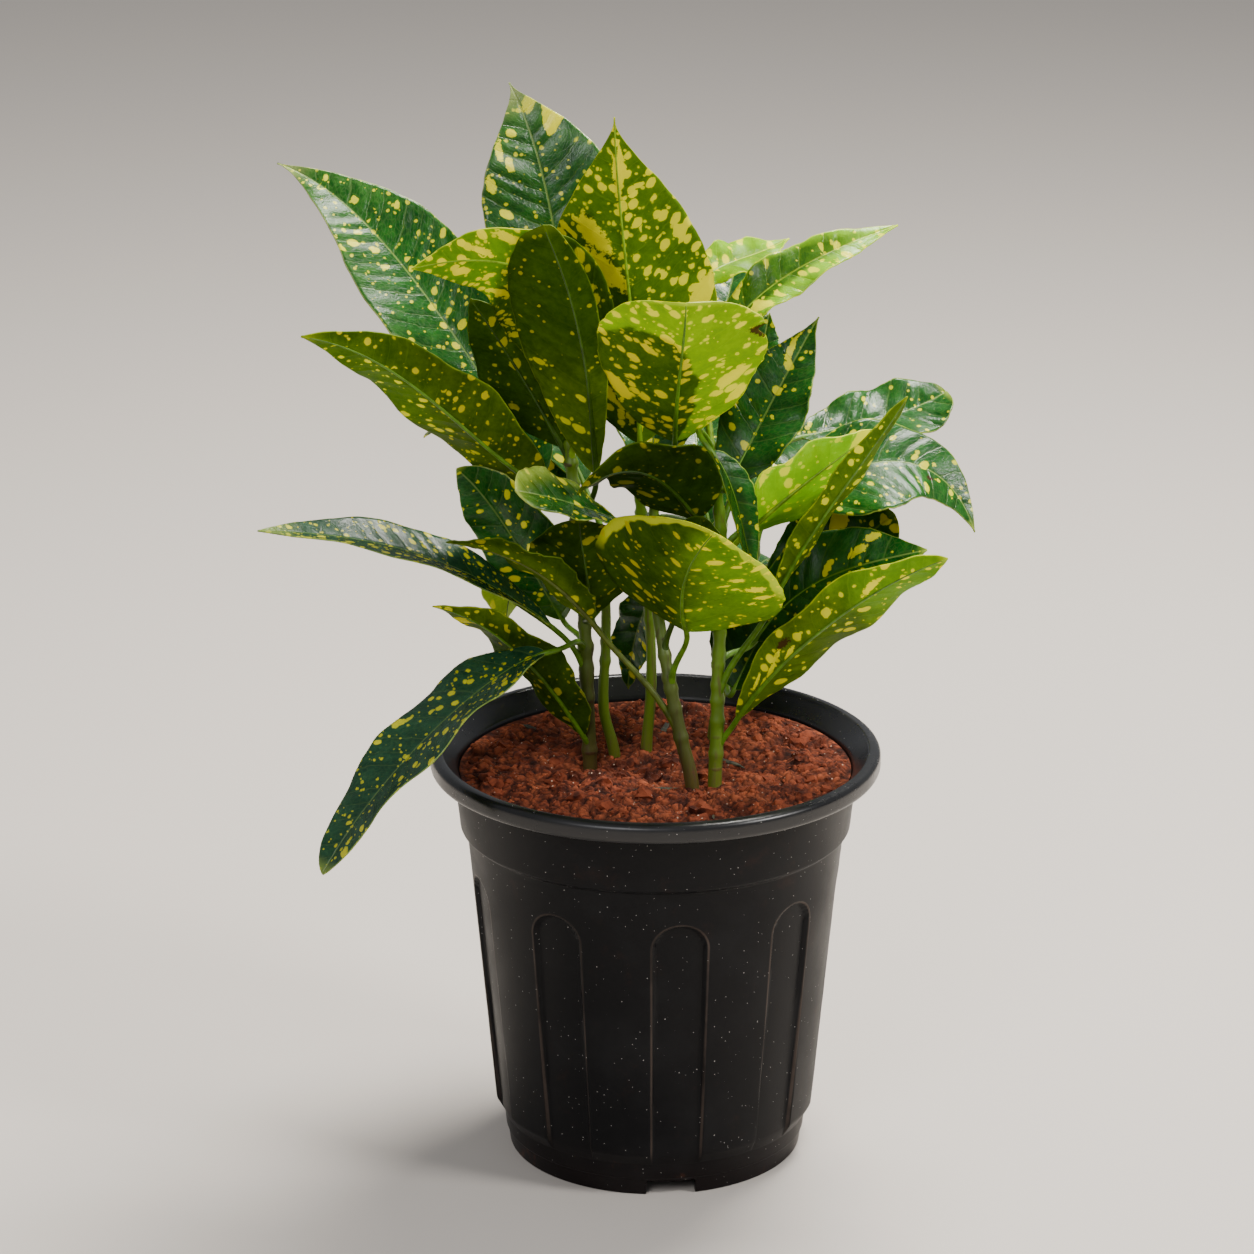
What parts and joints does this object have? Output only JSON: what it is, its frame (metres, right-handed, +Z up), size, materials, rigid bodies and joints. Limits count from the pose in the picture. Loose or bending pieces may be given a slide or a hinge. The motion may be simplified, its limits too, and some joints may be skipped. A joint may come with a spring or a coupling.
{
  "type": "potted croton plant",
  "caption": "Bushy croton with glossy spotted leaves on slim stems, growing in a round tapered plastic nursery pot with a wide rim, fluted side, notched foot and red-brown soil.",
  "frame": {"origin": "centre of the plant's bounding box in plan, at the height of the pot's underside", "axes": "+Z up, -Y towards the side that the picture shows, +X to the right as seen from there; the pot's axis is at x 16 mm, y -14 mm"},
  "size_m": [0.3129, 0.2282, 0.4745],
  "materials": {
    "pot_plastic": "satin near-black polypropylene",
    "soil": "dull crumbly red-brown soil",
    "stem_green": "smooth green bark",
    "stem_brown": "matte brown bark with leaf scars",
    "leaf_dark": "glossy dark green with yellow spots",
    "leaf_olive": "satin olive underside with yellow spots",
    "leaf_gold": "satin yellow-green with wide yellow blotches"
  },
  "bodies": {
    "root": {"pot": "pot_plastic", "soil": "soil", "stem_left": "stem_brown", "stem_left_green": "stem_green", "stem_middle_back": "stem_green", "stem_middle_front": "stem_brown", "stem_right": "stem_green", "stem_right_back": "stem_green", "leaf_left_high": "leaf_dark", "leaf_left_middle": "leaf_olive", "leaf_back_top": "leaf_dark", "leaf_top_gold": "leaf_gold", "leaf_front_dark": "leaf_olive", "leaf_left_arch": "leaf_gold", "leaf_left_shade": "leaf_olive", "leaf_front_broad": "leaf_gold", "leaf_back_pale": "leaf_gold", "leaf_right_high": "leaf_olive", "leaf_back_slim": "leaf_dark", "leaf_right_dark": "leaf_dark", "leaf_right_gloss": "leaf_dark", "leaf_right_hanging": "leaf_dark", "leaf_right_bright": "leaf_gold", "leaf_right_edge": "leaf_olive", "leaf_right_low": "leaf_olive", "leaf_right_under": "leaf_dark", "leaf_centre_fold": "leaf_gold", "leaf_centre_low": "leaf_dark", "leaf_centre_light": "leaf_dark", "leaf_centre_dark": "leaf_dark", "leaf_centre_hanging": "leaf_dark", "leaf_left_long": "leaf_dark", "leaf_left_toothed": "leaf_olive", "leaf_left_low": "leaf_olive", "leaf_left_drooping": "leaf_dark", "leaf_left_inner": "leaf_dark", "leaf_left_rear": "leaf_gold", "leaf_centre_shade": "leaf_olive", "leaf_right_rear": "leaf_dark", "leaf_right_inner": "leaf_dark", "leaf_rear_hanging": "leaf_dark", "leaf_rear_high_left": "leaf_dark", "leaf_rear_middle": "leaf_dark", "leaf_rear_right": "leaf_dark", "leaf_rear_droop_left": "leaf_dark", "leaf_rear_droop_right": "leaf_dark", "leaf_rear_low": "leaf_dark", "leaf_rear_crown": "leaf_dark", "leaf_rear_left": "leaf_dark", "leaf_rear_centre": "leaf_dark"}
  },
  "joints": []
}
